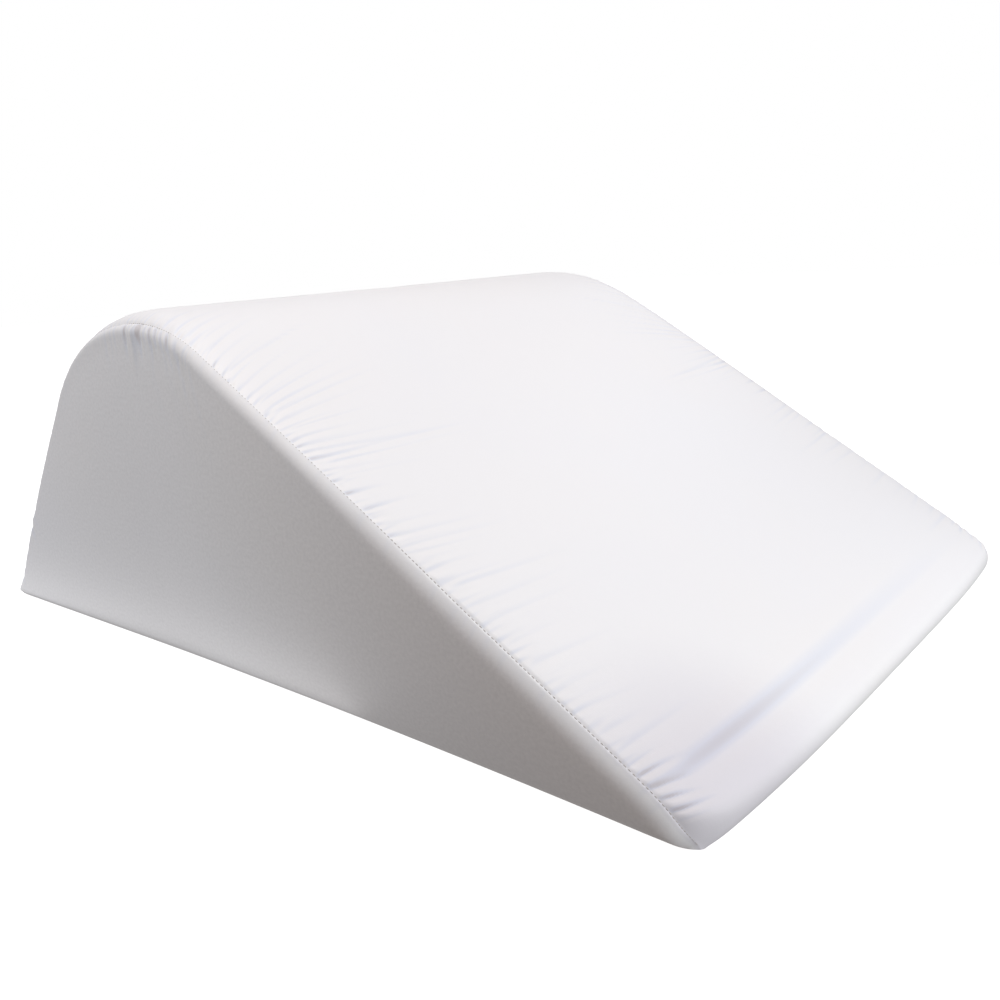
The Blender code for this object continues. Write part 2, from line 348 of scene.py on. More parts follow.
class CushionSizes(bpy.types.PropertyGroup):
    """Sizes of the cover and its seams."""

    crown_radius: length_property("Crown radius", "Radius of the round top in the side view", 0.159)
    crown_from_back: length_property("Crown from back", "From the foot of the back to the top", 0.2655)
    toe_radius: length_property("Toe radius", "Radius of the low front edge", 0.0105)
    back_corner_radius: length_property("Back corner radius", "Radius at the foot of the back", 0.004)
    back_bow: length_property("Back bow", "How far the back bows out", 0.0035)
    slope_sag: length_property("Slope sag", "How far the slope sags", 0.0005)
    seam_inset: length_property("Seam inset", "How far the seams lie in from the side panels", 0.0055)
    seam_drop: length_property("Seam drop", "How far the seams lie below the band's crown", 0.0074)
    seam_drop_fade: length_property("Seam drop fade", "Over what length the drop runs out", 0.045)
    swell_width: length_property("Swell width", "How far in from a seam the band swells", 0.008)
    side_roll_depth: length_property("Side roll", "Depth of the side panel's rolled edge", 0.015)
    groove_depth: length_property("Groove depth", "Depth of the pinched line of a seam", 0.0008)
    groove_width: length_property("Groove width", "Width of the pinched line of a seam", 0.0008)
    hem_height: length_property("Hem height", "Height of the side panels' lower edge", 0.0012)
    hem_roll_height: length_property("Hem roll", "Height of the side panels' rolled lower edge", 0.009)
    side_draw_in: length_property("Draw-in", "How far the sides pull in along the floor", 0.0064)
    draw_in_height: length_property("Draw-in height", "Height over which the pull fades", 0.050)
    side_swell: length_property("Side swell", "How far the side panels swell", 0.0015)
    back_plan_radius: length_property("Back plan radius", "Radius of the back's corners", 0.014)
    toe_plan_radius: length_property("Toe plan radius", "Radius of the toe's corners", 0.017)
    toe_bow: length_property("Toe bow", "How far the toe's corners lie behind its middle", 0.0085)
    stitch_pitch: length_property("Stitch pitch", "From one stitch to the next", 0.0030)
    stitch_length: length_property("Stitch length", "Length of a stitch", 0.0021)
    stitch_width: length_property("Stitch width", "Width of the thread", 0.00055)


class CushionColours(bpy.types.PropertyGroup):
    """Colours of the cloth, the thread and the floor, and of the light and shade painted on the cloth."""

    cloth: colour_property("Cloth", "White of the cover", (0.86, 0.86, 0.86, 1.0))
    # Painted tints of light: cream high up where the key light falls, blue low on the slope in the shade
    warm_light_tint: colour_property("Warm tint", "Cream of the crown and the ridges", (0.87, 0.86, 0.852, 1.0))
    cool_shade_tint: colour_property("Cool tint", "Blue of the low slope", (0.852, 0.858, 0.87, 1.0))
    # Painted light on fold walls that face up, and painted shade on those that face the toe
    fold_light: colour_property("Fold light", "Cast of fold walls that face up", (1.0, 0.99, 0.97, 1.0))
    fold_shade: colour_property("Fold shade", "Cast of walls that face the toe", (0.905, 0.93, 0.985, 1.0))
    fold_deep_shade: colour_property("Deep fold", "Cast of steep walls that face the toe", (0.78, 0.76, 0.77, 1.0))
    # Painted shade: lavender at the near toe corner, and brownish grey towards the toe on the side panels
    corner: colour_property("Corner cast", "Lavender shade at the near toe corner", (0.84, 0.825, 0.86, 1.0))
    side: colour_property("Side cast", "Warm shade of the side panels at the toe", (0.70, 0.655, 0.63, 1.0))
    # The thread is a little darker than the cloth, partly its own grey and partly painted shade of the seam
    # line
    thread: colour_property("Thread", "Colour of the stitches", (0.60, 0.575, 0.555, 1.0))
    floor: colour_property("Floor", "Colour of the studio floor", (0.90, 0.90, 0.90, 1.0))


def arc(centre, radius, start, end, steps):
    """Points and outward normals along a circle's arc, without its last point:
    point = centre + radius (cos a, sin a), for the angle a from start to end."""
    angle = np.linspace(start, end, steps, endpoint=False)
    normal = np.stack([np.cos(angle), np.sin(angle)], axis=1)
    return centre + radius * normal, normal


def straight(start, end, angle, steps):
    """Points along a line, without its last point, and its outward normal at the given angle."""
    share = np.linspace(0.0, 1.0, steps, endpoint=False)[:, None]
    normal = np.tile([math.cos(angle), math.sin(angle)], (steps, 1))
    return start + (end - start) * share, normal


def tangent_angle(first_centre, first_radius, second_centre, second_radius):
    """The normal's angle of the line that touches two circles from above."""
    offset = second_centre - first_centre
    return math.atan2(offset[1], offset[0]) + math.acos(
        (first_radius - second_radius) / math.hypot(*offset)
    )


def on_circle(centre, radius, angle):
    """The point of a circle at an angle."""
    return centre + radius * np.array([math.cos(angle), math.sin(angle)])


def bulge(points, start, end):
    """A half sine wave over a straight run, nothing past both its ends."""
    run = end - start
    return np.sin(math.pi * np.clip((points - start) @ run / (run @ run), 0.0, 1.0))


def outline(sizes):
    """The band's outline in the side view, from the back's foot over the crown to the toe's underside,
    as many points: arcs of the back corner, the crown and the toe with straight runs that touch them.
    Gives the points, the outward normals and the distance along the outline from the crown's top."""
    top_angle = math.pi / 2
    corner_radius, crown_radius, toe_radius = (
        sizes.back_corner_radius, sizes.crown_radius, sizes.toe_radius,
    )
    corner = np.array([corner_radius, corner_radius])
    crown = np.array([sizes.crown_from_back, HEIGHT - crown_radius])
    toe = np.array([LENGTH - toe_radius, toe_radius])
    back_angle = tangent_angle(corner, corner_radius, crown, crown_radius)
    slope_angle = tangent_angle(crown, crown_radius, toe, toe_radius)
    back_start, back_end = (
        on_circle(corner, corner_radius, back_angle), on_circle(crown, crown_radius, back_angle),
    )
    slope_start, slope_end = (
        on_circle(crown, crown_radius, slope_angle), on_circle(toe, toe_radius, slope_angle),
    )
    runs = [
        arc(corner, corner_radius, top_angle + math.pi, back_angle, CORNER_POINTS),
        straight(back_start, back_end, back_angle, BACK_POINTS),
        arc(crown, crown_radius, back_angle, top_angle, CROWN_POINTS),
        arc(crown, crown_radius, top_angle, slope_angle, CROWN_POINTS),
        straight(slope_start, slope_end, slope_angle, SLOPE_POINTS),
        arc(toe, toe_radius, slope_angle, -top_angle, TOE_POINTS),
    ]
    points = np.vstack([run[0] for run in runs] + [on_circle(toe, toe_radius, -top_angle)])
    normals = np.vstack([run[1] for run in runs] + [[0.0, -1.0]])
    points += normals * sizes.back_bow * bulge(points, back_start, back_end)[:, None]
    points -= normals * sizes.slope_sag * bulge(points, slope_start, slope_end)[:, None]
    along = np.concatenate([[0.0], np.cumsum(np.hypot(*np.diff(points, axis=0).T))])
    top = sum(len(run[0]) for run in runs[:3])
    return points, normals, along - along[top]


def columns_along(stretches, start, end):
    """Distances of the grid's columns from the crown's top, from the band's start to its end."""
    parts = [np.linspace(low, high, count, endpoint=False) for low, high, count in stretches]
    along = np.concatenate(parts + [[stretches[-1][1]]])
    return np.interp(along, [along[0], 0.0, along[-1]], [start, 0.0, end])


def gather_profile(distance, reach):
    """How deep a gather is at a distance in from the seam: it deepens at once and dies away slowly,
    (1 - exp(-share / rise)) x (1 - share)^fade, where share is distance / reach."""
    share = np.clip(distance / reach, 0.0, 1.0)
    return (1.0 - np.exp(-share / GATHER_RISE)) * (1.0 - share) ** GATHER_FADE


def gathers(table, along, inward):
    """Depth of a table's gathers, each a trough with a bell-shaped section round a leaning path:
    depth x profile x exp(-((along - path) / half_width)^2), path = from_top + lean x share^power."""
    total = np.zeros(np.broadcast(along, inward).shape)
    for row in table:
        start, reach, depth, half_width, lean = np.array(row) / 1000.0
        share = np.clip(inward / reach, 0.0, 1.0)
        path = start + lean * share**LEAN_POWER
        total += depth * gather_profile(inward, reach) * np.exp(-(((along - path) / half_width) ** 2))
    return total


def fine_gathers(stretches, leans, seed):
    """Rows of a gather table that fill the seam: one gather each pitch, shifted by up to a third of it,
    with its reach, depth and half width varied from a seeded draw."""
    draw = np.random.RandomState(seed)
    rows = []
    for start, end, pitch, reach, depth in stretches:
        places = np.arange(start, end, pitch)
        places = places + draw.uniform(*PLACE_RANGE, len(places)) * pitch
        for place in places:
            this_reach = reach * draw.uniform(*REACH_RANGE)
            lean = np.interp(place, *np.array(leans, float).T) * (this_reach / LEAN_REACH) ** LEAN_POWER
            this_depth = depth * draw.uniform(*DEPTH_RANGE)
            rows.append((place, this_reach, this_depth, pitch * draw.uniform(*HALF_WIDTH_RANGE), lean))
    return rows


def share_along(table, along):
    """A share from a table by the distance along the band, with straight lines between its rows."""
    from_top, shares = np.array(table, float).T
    return np.interp(along * 1000.0, from_top, shares)


def roll(distance, depth, inset):
    """How far a panel's edge is drawn in at a distance from it: inset x (1 - distance / depth)^power."""
    return inset * (1.0 - np.clip(distance / depth, 0.0, 1.0)) ** ROLL_POWER


def round_corner(distance, radius):
    """How far a round corner of the plan lies inside a square one, at a distance from its end."""
    past = np.clip(radius - distance, 0.0, radius)
    return radius - np.sqrt(radius**2 - past**2)


class CushionShape:
    """Where the panels of the cover lie, as functions of the distance along the band from the crown's
    top and of the distance in from the seam, or down from it."""

    def __init__(self, sizes):
        self.sizes = sizes
        self.points, self.normals, self.along = outline(sizes)
        self.start, self.end = self.along[0], self.along[-1]
        self.toe_start = self.end - sizes.toe_radius * math.pi / 2
        self.side_plane = WIDTH / 2 - sizes.side_swell
        grid = columns_along(COLUMN_STRETCHES, self.start, self.end)
        self.shift = 0.0
        middle = self.band(grid, np.full(len(grid), self.side_plane), NEAR, ())
        self.shift = (middle[:, 0].min() + middle[:, 0].max()) / 2

    def at(self, along):
        """The outline's points and outward normals at distances along it."""
        point = np.stack([np.interp(along, self.along, self.points[:, axis]) for axis in (0, 1)], axis=-1)
        normal = np.stack([np.interp(along, self.along, self.normals[:, axis]) for axis in (0, 1)], axis=-1)
        return point, normal / np.linalg.norm(normal, axis=-1, keepdims=True)

    def drop(self, along):
        """How far the seam lies inside the outline, which runs out to nothing at the back's foot:
        drop x sin(pi/2 x distance from the foot / fade) x share."""
        share = np.clip((along - self.start) / self.sizes.seam_drop_fade, 0.0, 1.0)
        return self.sizes.seam_drop * np.sin(share * math.pi / 2) * share_along(DROP_SHARES, along)

    def groove(self, along, distance):
        """The pinched line of the seam: depth x exp(-(distance / width)^power), nothing at the ends."""
        sizes = self.sizes
        depth = sizes.groove_depth * share_along(GROOVE_SHARES, along) * self.end_fade(along)
        return depth * np.exp(-((distance / sizes.groove_width) ** GROOVE_POWER))

    def placed(self, x, z, in_from_side, side):
        """Points from a place in the side view and a distance in from the side plane. The sides are
        drawn in by draw_in x sin(pi share^skew) x exp(-z / height), where share is x / length, and
        round at the plan's corners. The toe's corners lie back by bow x (y / plane)^power x toe_share^2,
        and the near panel stands out."""
        sizes = self.sizes
        wave = np.sin(math.pi * np.clip(x / LENGTH, 0.0, 1.0) ** DRAW_IN_SKEW)
        corners = round_corner(x, sizes.back_plan_radius) + round_corner(LENGTH - x, sizes.toe_plan_radius)
        half_width = self.side_plane - sizes.side_draw_in * wave * np.exp(-z / sizes.draw_in_height) - corners
        if side < 0:
            from_back, stand_outs = np.array(STAND_OUTS).T / 1000.0
            grown = 1.0 - np.exp(-z / STAND_OUT_HEIGHT)
            half_width = half_width + np.interp(x, from_back, stand_outs) * grown
        y = side * (self.side_plane - in_from_side) * half_width / self.side_plane
        toe_share = np.clip((x / LENGTH - 0.5) / 0.5, 0.0, 1.0)
        x = x - sizes.toe_bow * (y / self.side_plane) ** TOE_BOW_POWER * toe_share**2 - self.shift
        return np.stack([x, y, np.maximum(z, 0.0)], axis=-1)

    def edge_height(self, inward):
        """Height of the hem's rounding at a distance in from it: hem x (1 - distance / width)^2."""
        return self.sizes.hem_height * np.clip(1.0 - inward / HEM_ROUNDING, 0.0, 1.0) ** 2

    def end_fade(self, along):
        """1 along the band, running out in straight lines to nothing at its two ends."""
        return np.clip(np.minimum(along - self.start, self.end - along) / END_FADE, 0.0, 1.0)

    def seam_path(self, along):
        """The seam in the side view: the outline lowered by the drop, and near the toe a curve down to
        the floor, (1 - t)^2 first + 2 t (1 - t) bend + t^2 last."""
        point, normal = self.at(along)
        place = point - normal * self.drop(along)[..., None]
        first_point, first_normal = self.at(TOE_SEAM_START)
        first = first_point - first_normal * self.drop(np.array(TOE_SEAM_START))
        bend = first + TOE_SEAM_BEND * np.array([first_normal[1], -first_normal[0]])
        last = np.array([LENGTH - self.sizes.toe_radius + TOE_SEAM_REACH, 0.0])
        share = np.clip((along - TOE_SEAM_START) / (self.end - TOE_SEAM_START), 0.0, 1.0)[..., None]
        curve = (1.0 - share) ** 2 * first + 2.0 * share * (1.0 - share) * bend + share**2 * last
        return np.where(share > 0.0, curve, place)

    def swell(self, along, inward):
        """1 at the seam, dying away inwards as the band swells: exp(-inward / width)."""
        return np.exp(-inward / (self.sizes.swell_width * share_along(SWELL_SHARES, along)))

    def band(self, along, inward, side, table):
        """Points of the top band: from the seam it swells up to the outline, which is filled out under
        the toe's corners, and the groove and the gathers are sunk into it along the normal."""
        point, normal = self.at(along)
        under = np.clip((along - self.toe_start) / (self.end - self.toe_start), 0.0, 1.0) ** 2
        point[..., 0] += TOE_SEAM_REACH * under * np.exp(-inward / TOE_FILL_WIDTH)
        swell = self.swell(along, inward)[..., None]
        folds = self.band_gathers(along, inward, side, table)
        sunk = self.groove(along, inward) + folds * self.end_fade(along)
        place = point + (self.seam_path(along) - point) * swell - normal * sunk[..., None]
        height = np.maximum(place[..., 1], self.edge_height(inward))
        return self.placed(place[..., 0], height, self.sizes.seam_inset + inward, side)

    def band_gathers(self, along, inward, side, table):
        """Depth of the band's gathers. The far seam has the near one's, shifted, but the long folds run
        in from the near seam alone, past the middle."""
        if side < 0:
            return gathers(table, along, inward)
        from_near = 2 * (self.side_plane - self.sizes.seam_inset) - inward
        long_folds = [row for row in table if row[1] >= LONG_REACH]
        short = [row for row in table if row[1] < LONG_REACH]
        return gathers(long_folds, along, from_near) + gathers(short, along - FAR_SHIFT, inward)

    def fold_slope(self, along, inward, side, table):
        """How fast the gathers deepen along the band: positive on the walls that face the toe."""
        return np.gradient(self.band_gathers(along, inward, side, table), along[:, 0], axis=0)

    def seam(self, along):
        """The pinched line of the seam in the side view: the seam's path lowered by the groove."""
        _, normal = self.at(along)
        place = self.seam_path(along) - normal * self.groove(along, 0.0)[..., None]
        place[..., 1] = np.maximum(place[..., 1], self.sizes.hem_height)
        return place

    def hem(self, along, inward):
        """The side panel's lower edge in the side view, spread evenly under the seam, and the base in
        from it, whose toe follows the band's end."""
        sizes = self.sizes
        knots = [self.start, 0.0, self.end]
        ends = [sizes.back_corner_radius, sizes.crown_from_back, LENGTH - sizes.toe_radius]
        toe_share = np.clip(along / self.end, 0.0, 1.0)
        fill, swell = np.exp(-inward / TOE_FILL_WIDTH), self.swell(self.end, inward)
        x = np.interp(along, knots, ends) + TOE_SEAM_REACH * toe_share * (fill + (1.0 - fill) * swell)
        return np.stack([x, np.full(x.shape, sizes.hem_height)], axis=-1)

    def panel(self, along, down_share, side, table):
        """Points of a side panel, on the line from the seam down to the hem. Its edges roll in:
        in = inset x (1 - distance / depth)^power, and it swells by swell x sin(pi share)."""
        sizes = self.sizes
        _, normal = self.at(along)
        seam, hem = self.seam(along), self.hem(along, np.zeros(along.shape))
        rise = seam - hem
        length = np.linalg.norm(rise, axis=-1)
        below_seam = length * down_share
        below_outline = np.abs((normal * rise).sum(axis=-1)) * down_share
        raised = (self.groove(along, 0.0) - self.groove(along, below_seam)) * (1.0 - down_share)
        place = seam - rise * down_share[..., None] + normal * raised[..., None]
        folded_along = along - (FAR_SHIFT if side > 0 else 0.0)
        inward = np.maximum(
            roll(below_outline, sizes.side_roll_depth * share_along(ROLL_SHARES, along), sizes.seam_inset),
            roll(place[..., 1] - sizes.hem_height, sizes.hem_roll_height, sizes.seam_inset),
        )
        inward = inward + gathers(table, folded_along, below_seam) * (1.0 - down_share**HEM_FADE_POWER)
        inward = inward - sizes.side_swell * np.sin(math.pi * down_share) * length / HEIGHT
        return self.placed(place[..., 0], place[..., 1], inward, side)

    def base(self, along, inward, side):
        """Points of the flat base under the hem, whose edge is rounded."""
        hem = self.hem(along, inward)
        return self.placed(hem[..., 0], self.edge_height(inward), self.sizes.seam_inset + inward, side)


def grid_faces(rows, columns, first, turned):
    """Corners of the faces of a grid whose points are numbered row by row from first."""
    numbers = first + np.arange(rows * columns).reshape(rows, columns)
    corners = [numbers[:-1, :-1], numbers[:-1, 1:], numbers[1:, 1:], numbers[1:, :-1]]
    return np.stack(corners[::-1] if turned else corners, axis=-1).reshape(-1, 4)


def spread(values, rows_from, rows_to, columns_from, columns_to):
    """Values of a coarse grid at the places of a finer one, by cubic curves between its points along
    one way and then the other: h1 first + h2 next + (h3 slope + h4 next slope) x step."""
    for fine, coarse in ((columns_to, columns_from), (rows_to, rows_from)):
        fine = np.clip(fine, coarse[0], coarse[-1])
        slope = np.gradient(values, coarse, axis=0)
        spot = np.clip(np.searchsorted(coarse, fine, side="right") - 1, 0, len(coarse) - 2)
        step = coarse[spot + 1] - coarse[spot]
        share = (fine - coarse[spot]) / step
        share, step = share[:, None, None], step[:, None, None]
        values = (
            (1.0 + 2.0 * share) * (1.0 - share) ** 2 * values[spot]
            + share**2 * (3.0 - 2.0 * share) * values[spot + 1]
            + share * (1.0 - share) ** 2 * step * slope[spot]
            - share**2 * (1.0 - share) * step * slope[spot + 1]
        ).transpose(1, 0, 2)
    return values


def mesh_of_grids(name, grids):
    """One mesh from grids that share their edges. Each grid is its points, the UV of each point in
    metres of cloth, how far each point lies below the seam, how steep the folds are there, and whether
    its faces are turned over."""
    faces, first = [], 0
    for points, _, _, _, turned in grids:
        faces.append(grid_faces(*points.shape[:2], first, turned))
        first += points.shape[0] * points.shape[1]
    faces = np.concatenate(faces)
    mesh = bpy.data.meshes.new(name)
    places = np.concatenate([grid[0].reshape(-1, 3) for grid in grids])
    mesh.from_pydata(places, [], faces.tolist())
    laid = np.concatenate([grid[1].reshape(-1, 2) for grid in grids])
    layer = mesh.uv_layers.new(name="cloth")
    layer.data.foreach_set("uv", laid[faces.reshape(-1)].astype(np.float32).ravel())
    for place, attribute in ((2, "below_seam"), (3, "fold_slope")):
        values = np.concatenate([grid[place].ravel() for grid in grids]).astype(np.float32)
        mesh.attributes.new(attribute, "FLOAT", "POINT").data.foreach_set("value", values)
    return mesh


def close_mesh(mesh):
    """Join what lies together, turn the faces outwards and make the flat faces on the floor one."""
    joined = bmesh.new()
    joined.from_mesh(mesh)
    bmesh.ops.remove_doubles(joined, verts=joined.verts, dist=MERGE_DISTANCE)
    bmesh.ops.recalc_face_normals(joined, faces=joined.faces)
    flat = [face for face in joined.faces if all(vertex.co.z < MERGE_DISTANCE for vertex in face.verts)]
    bmesh.ops.dissolve_faces(joined, faces=flat, use_verts=True)
    joined.to_mesh(mesh)
    joined.free()
    mesh.shade_smooth()


def across_both(half):
    """A grid from the near edge to the far one, from its two halves that meet in the middle."""
    near, far = half(NEAR), half(FAR)
    return np.concatenate([near, far[:, -2::-1]], axis=1)


def across(shape, band_rows):
    """Distances from the near seam of the rows across the band and the base: those of the near half,
    and all of them."""
    inner = shape.side_plane - shape.sizes.seam_inset
    half_rows = np.array(band_rows + (inner,))
    return half_rows, np.concatenate([half_rows, 2 * inner - half_rows[-2::-1]])


def cover_grids(shape, along, band_rows, panel_shares, band_table, panel_table):
    """The grids of the cover: the band, the base and the two side panels, which share their edges."""
    half_rows, all_rows = across(shape, band_rows)
    half_along, inward = np.broadcast_arrays(along[:, None], half_rows)
    band = across_both(lambda side: shape.band(half_along, inward, side, band_table))
    base = across_both(lambda side: shape.base(half_along, inward, side))
    slope = across_both(lambda side: shape.fold_slope(half_along, inward, side, band_table))
    laid = np.stack(np.broadcast_arrays(along[:, None], all_rows), axis=-1)
    level = np.zeros(slope.shape)
    grids = [(band, laid, level, slope, True), (base, base[..., :2], level + HEIGHT, level, False)]
    side_along, down = np.broadcast_arrays(along[:, None], np.array(panel_shares))
    for side in (NEAR, FAR):
        points = shape.panel(side_along, down, side, panel_table)
        below_seam = np.linalg.norm(points - points[:, :1], axis=-1)
        folds = gathers(panel_table, side_along - (FAR_SHIFT if side > 0 else 0.0), below_seam)
        slope = np.gradient(folds, along, axis=0)
        grids.append((points, points[..., [0, 2]], below_seam, slope, side > 0))
    return grids


def swollen_moves(shape, along):
    """How far the filling pushes the panels out, on coarse grids: a cloth simulation under pressure and
    without gravity, with the seams, the hems and the base pinned. The moves are scaled down so that
    the longest is the largest that is allowed."""
    grids = cover_grids(shape, along, CLOTH_ROWS, CLOTH_SHARES, (), ())
    pins = [np.ones(grid[0].shape[:2]) for grid in grids]
    for place in (BAND, NEAR_PANEL, FAR_PANEL):
        pins[place][1:-1, 1:-1] = 0.0
    mesh = mesh_of_grids("cloth_copy", grids)
    before = np.concatenate([grid[0].reshape(-1, 3) for grid in grids])
    copy = bpy.data.objects.new("cloth_copy", mesh)
    scene = bpy.context.scene
    scene.collection.objects.link(copy)
    group = copy.vertex_groups.new(name="pinned")
    group.add(np.flatnonzero(np.concatenate([pin.ravel() for pin in pins])).tolist(), 1.0, "REPLACE")
    cloth = copy.modifiers.new("Cloth", "CLOTH")
    cloth.settings.vertex_group_mass = "pinned"
    cloth.settings.use_pressure = True
    cloth.settings.uniform_pressure_force = CLOTH_PRESSURE
    cloth.settings.effector_weights.gravity = 0.0
    cloth.point_cache.frame_start, cloth.point_cache.frame_end = 1, CLOTH_FRAMES
    for number in range(1, CLOTH_FRAMES + 1):
        scene.frame_set(number)
        solved = copy.evaluated_get(bpy.context.evaluated_depsgraph_get())
    after = np.empty(before.size, np.float32)
    solved.data.vertices.foreach_get("co", after)
    moves = after.reshape(-1, 3).astype(float) - before
    longest = np.linalg.norm(moves, axis=1).max()
    if not 0.0 < longest < CLOTH_WILD_MOVE:
        raise RuntimeError("the cloth simulation gave no usable result")
    moves *= min(1.0, CLOTH_LARGEST_MOVE / longest)
    scene.frame_set(1)
    bpy.data.objects.remove(copy)
    bpy.data.meshes.remove(mesh)
    ends = np.cumsum([grid[0][..., 0].size for grid in grids])[:-1]
    return [part.reshape(grid[0].shape) for part, grid in zip(np.split(moves, ends), grids)]


def cover_mesh(shape):
    """The closed cover: the panels, swollen by the filling and joined along their shared edges."""
    along = columns_along(COLUMN_STRETCHES, shape.start, shape.end)
    band_table = list(BAND_GATHERS) + fine_gathers(FINE_BAND_STRETCHES, BAND_LEANS, GATHER_SEED)
    panel_table = list(PANEL_GATHERS) + fine_gathers(FINE_PANEL_STRETCHES, NO_LEANS, GATHER_SEED + 1)
    grids = cover_grids(shape, along, BAND_ROWS, PANEL_SHARES, band_table, panel_table)
    coarse = np.arange(shape.start + CLOTH_END_GAP, shape.end - CLOTH_END_GAP, CLOTH_STEP)
    moves = swollen_moves(shape, coarse)
    for place in (BAND, NEAR_PANEL, FAR_PANEL):
        if place == BAND:
            rows_from, rows_to = across(shape, CLOTH_ROWS)[1], across(shape, BAND_ROWS)[1]
        else:
            rows_from, rows_to = np.array(CLOTH_SHARES), np.array(PANEL_SHARES)
        moved = grids[place][0] + spread(moves[place], rows_from, rows_to, coarse, along)
        grids[place] = (moved,) + grids[place][1:]
    mesh = mesh_of_grids("cushion_cover", grids)
    close_mesh(mesh)
    return mesh


def stitch_mesh(shape):
    """The stitches of both seams: each a short bead of thread that lies along the seam, with its ends
    sunk into the groove. A bead is a circle carried along a chord, radius x sqrt(1 - (2 t - 1)^4)."""
    sizes = shape.sizes
    start, end = shape.start + STITCH_END_GAP, shape.end - STITCH_END_GAP
    middles = np.arange(start, end, sizes.stitch_pitch)
    share = np.array(STITCH_RINGS)
    angle = np.arange(STITCH_SIDES) * 2.0 * math.pi / STITCH_SIDES
    radius = sizes.stitch_width / 2 * np.sqrt(np.clip(1.0 - (2.0 * share - 1.0) ** 4, 0.0, 1.0))
    along = middles[:, None] + (share[None, :] - 0.5) * sizes.stitch_length
    parts = []
    for side in (NEAR, FAR):
        lifted = shape.seam(along)
        _, normal = shape.at(along)
        shallow = 1.0 - np.clip(share_along(GROOVE_SHARES, along), 0.0, 1.0)
        lift = STITCH_LIFT - STITCH_DIP * (2.0 * share - 1.0) ** 2 - STITCH_SINK * shallow
        lifted = lifted + normal * lift[..., None]
        centre = shape.placed(lifted[..., 0], lifted[..., 1], np.full(along.shape, sizes.seam_inset), side)
        up = np.stack([normal[..., 0], np.zeros(along.shape), normal[..., 1]], axis=-1)
        over = np.array([0.0, 1.0, 0.0])
        ring = np.cos(angle)[:, None] * up[..., None, :] + np.sin(angle)[:, None] * over
        parts.append(centre[..., None, :] + ring * radius[None, :, None, None])
    beads = np.concatenate(parts)
    count, rings, sides = beads.shape[:3]
    numbers = np.arange(count * rings * sides).reshape(count, rings, sides)
    following = np.roll(numbers, -1, axis=2)
    corners = [numbers[:, :-1], following[:, :-1], following[:, 1:], numbers[:, 1:]]
    faces = np.stack(corners, axis=-1).reshape(-1, 4)
    mesh = bpy.data.meshes.new("seam_stitches")
    mesh.from_pydata(beads.reshape(-1, 3), [], faces.tolist())
    close_mesh(mesh)
    return mesh


def node(tree, kind, place, inputs, output=0, **settings):
    """Add a shader node at a place in the node editor, with its settings and inputs, and give one of its
    outputs. An input is another node's output, which is linked to it, or a number or colour."""
    made = tree.nodes.new("ShaderNode" + kind)
    made.location = place
    for name, value in settings.items():
        setattr(made, name, value)
    join(tree, made, inputs)
    return made.outputs[output]


def join(tree, target, inputs):
    """Link or set inputs of a node, by their names or numbers."""
    for name, value in inputs.items():
        if isinstance(value, bpy.types.NodeSocket):
            tree.links.new(value, target.inputs[name])
        else:
            target.inputs[name].default_value = value


def bump(tree, place, height, strength, distance, normal=None):
    """A bump of a height, with its strength and its distance in metres, over the bump before it."""
    inputs = {"Height": height, "Strength": strength, "Distance": distance}
    if normal:
        inputs["Normal"] = normal
    return node(tree, "Bump", place, inputs)


def rising(tree, place, value, start, end, curve="SMOOTHSTEP", low=0.0):
    """A low number where a value is at its start, 1 at its end, and a curve or a line between them."""
    inputs = {"Value": value, "From Min": start, "From Max": end, "To Min": low}
    return node(tree, "MapRange", place, inputs, interpolation_type=curve)


def tinted(tree, place, share, colour, tint):
    """A colour multiplied by a share of a tint."""
    inputs = {0: share, 6: colour, 7: tint}
    return node(tree, "Mix", place, inputs, 2, data_type="RGBA", blend_type="MULTIPLY")


def product(tree, place, first, second):
    """One value times another."""
    return node(tree, "Math", place, {0: first, 1: second}, operation="MULTIPLY")


def ramp_of(tree, place, value, stops):
    """A colour from a ramp of stops, each a position and a colour."""
    output = node(tree, "ValToRGB", place, {"Fac": value})
    ramp = output.node.color_ramp
    for element, (position, colour) in zip(ramp.elements, (stops[0], stops[-1])):
        element.position, element.color = position, colour
    for position, colour in stops[1:-1]:
        ramp.elements.new(position).color = colour
    return output


def new_material(name, inputs):
    """A material with its name, its node tree and its shader, some of whose inputs are set."""
    material = bpy.data.materials.new(name)
    material.use_nodes = True
    tree = material.node_tree
    shader = tree.nodes["Principled BSDF"]
    join(tree, shader, inputs)
    return material, tree, shader


def cloth_normal(tree, uv, place):
    """The cloth's bump: a fine weave and slubs on the cloth's UV, in metres, and faint creases on object
    coordinates."""
    warp, weft = (
        node(
            tree, "TexWave", (-1200, high), {"Vector": uv, "Scale": WEAVE_SCALE, "Distortion": 0.6}, "Fac",
            bands_direction=axis,
        )
        for axis, high in (("X", -200), ("Y", -500))
    )
    weave = node(tree, "Mix", (-950, -300), {0: 0.5, 2: warp, 3: weft})
    drawn_out = node(tree, "Mapping", (-1200, -800), {"Vector": uv, "Scale": (1.0, 0.22, 1.0)})
    slub = node(
        tree, "TexNoise", (-950, -700),
        {"Vector": drawn_out, "Scale": 900.0, "Detail": 2.0, "Roughness": 0.6},
    )
    crease = node(
        tree, "TexNoise", (-950, -1000), {"Vector": place, "Scale": 38.0, "Detail": 3.0, "Roughness": 0.5}
    )
    woven = bump(tree, (-650, -300), weave, 0.12, 0.0001)
    slubbed = bump(tree, (-450, -500), slub, 0.5, 0.00012, woven)
    return bump(tree, (-250, -700), crease, 0.5, 0.0006, slubbed)


